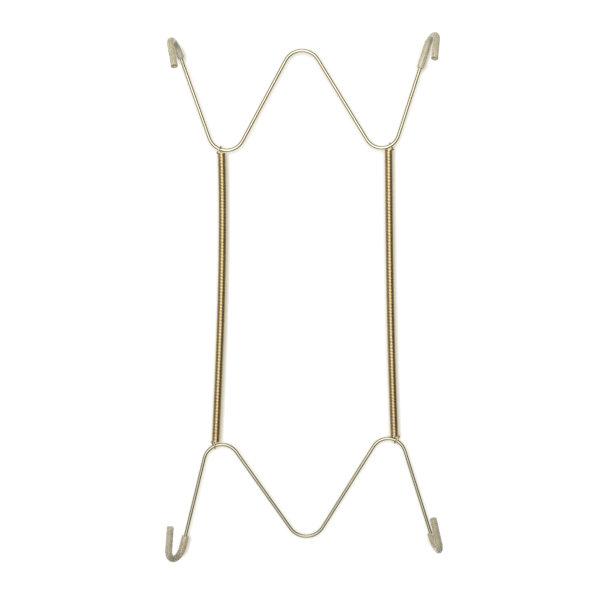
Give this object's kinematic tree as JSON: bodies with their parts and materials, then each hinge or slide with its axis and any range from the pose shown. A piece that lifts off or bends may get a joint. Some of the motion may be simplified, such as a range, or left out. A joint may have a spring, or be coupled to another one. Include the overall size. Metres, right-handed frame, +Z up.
{
  "type": "spring wire plate hanger",
  "caption": "Spring wire wall hanger: an upper and a lower W-shaped wire with sleeved forward hooks, drawn together by extension springs to grip a plate by its rim.",
  "frame": {"origin": "underside of the upper wire's middle bend, where the hanger sits on its nail", "axes": "+Z up along the hanger, +X to the viewer's right, -Y forwards, away from the wall, the way the hooks curl"},
  "size_m": [0.1512, 0.0232, 0.29],
  "materials": {
    "brass_wire": "bright brass plate on drawn steel wire",
    "gold_spring": "deeper gold plate on wound spring wire",
    "vinyl": "soft translucent vinyl tube"
  },
  "bodies": {
    "upper_frame": {"upper_wire": "brass_wire", "upper_left_sleeve": "vinyl", "upper_right_sleeve": "vinyl"},
    "left_upper_hook": {"left_spring_upper_hook": "gold_spring"},
    "left_upper_coil": {"left_spring_upper_coil": "gold_spring"},
    "left_lower_coil": {"left_spring_lower_coil": "gold_spring"},
    "left_lower_hook": {"left_spring_lower_hook": "gold_spring"},
    "right_upper_hook": {"right_spring_upper_hook": "gold_spring"},
    "right_upper_coil": {"right_spring_upper_coil": "gold_spring"},
    "right_lower_coil": {"right_spring_lower_coil": "gold_spring"},
    "right_lower_hook": {"right_spring_lower_hook": "gold_spring"},
    "lower_frame": {"lower_wire": "brass_wire", "lower_left_sleeve": "vinyl", "lower_right_sleeve": "vinyl"}
  },
  "joints": [
    {"name": "upper_fold", "type": "hinge", "parent": "upper_frame", "child": "left_upper_hook", "pos_m": [-0.04507, 0, -0.05332], "axis": [0.9998, 0, 0.0201], "range_deg": [-120, 120]},
    {"name": "sway", "type": "hinge", "parent": "left_upper_hook", "child": "left_upper_coil", "pos_m": [-0.04443, 0, -0.05633], "axis": [0, 1, 0], "range_deg": [-10, 10]},
    {"name": "stretch", "type": "slide", "parent": "left_upper_coil", "child": "left_lower_coil", "axis": [0, 0, -1], "range_m": [0, 0.085], "stiffness_N_per_m": 348, "springref_m": -0.0086, "deforming": ["left_spring_upper_coil", "left_spring_lower_coil"]},
    {"name": "sway_return", "type": "hinge", "parent": "left_lower_coil", "child": "left_lower_hook", "pos_m": [-0.04733, 0, -0.21358], "axis": [0, 1, 0], "range_deg": [-9.6, 9.6]},
    {"name": "lower_fold", "type": "hinge", "parent": "left_lower_hook", "child": "lower_frame", "pos_m": [-0.04808, 0, -0.21656], "axis": [0.9995, 0, 0.031], "range_deg": [-120, 120]},
    {"name": "right_upper_fold", "type": "hinge", "parent": "upper_frame", "child": "right_upper_hook", "pos_m": [0.04843, 0, -0.05144], "axis": [0.9998, 0, 0.0201], "range_deg": [-120, 120]},
    {"name": "right_sway", "type": "hinge", "parent": "right_upper_hook", "child": "right_upper_coil", "pos_m": [0.04779, 0, -0.05445], "axis": [0, 1, 0], "range_deg": [-10.1, 10.1]},
    {"name": "right_stretch", "type": "slide", "parent": "right_upper_coil", "child": "right_lower_coil", "axis": [0, 0, -1], "range_m": [0, 0.085], "stiffness_N_per_m": 348, "springref_m": -0.0086, "deforming": ["right_spring_upper_coil", "right_spring_lower_coil"]},
    {"name": "right_sway_return", "type": "hinge", "parent": "right_lower_coil", "child": "right_lower_hook", "pos_m": [0.05091, 0, -0.21049], "axis": [0, 1, 0], "range_deg": [-9.6, 9.6]}
  ],
  "couplings": [
    {"joint": "sway_return", "follows": "sway", "ratio": -0.9385},
    {"joint": "right_upper_fold", "follows": "upper_fold", "ratio": 1},
    {"joint": "right_sway", "follows": "sway", "ratio": 1.0066},
    {"joint": "right_stretch", "follows": "stretch", "ratio": 1},
    {"joint": "right_sway_return", "follows": "sway", "ratio": -0.9451}
  ]
}
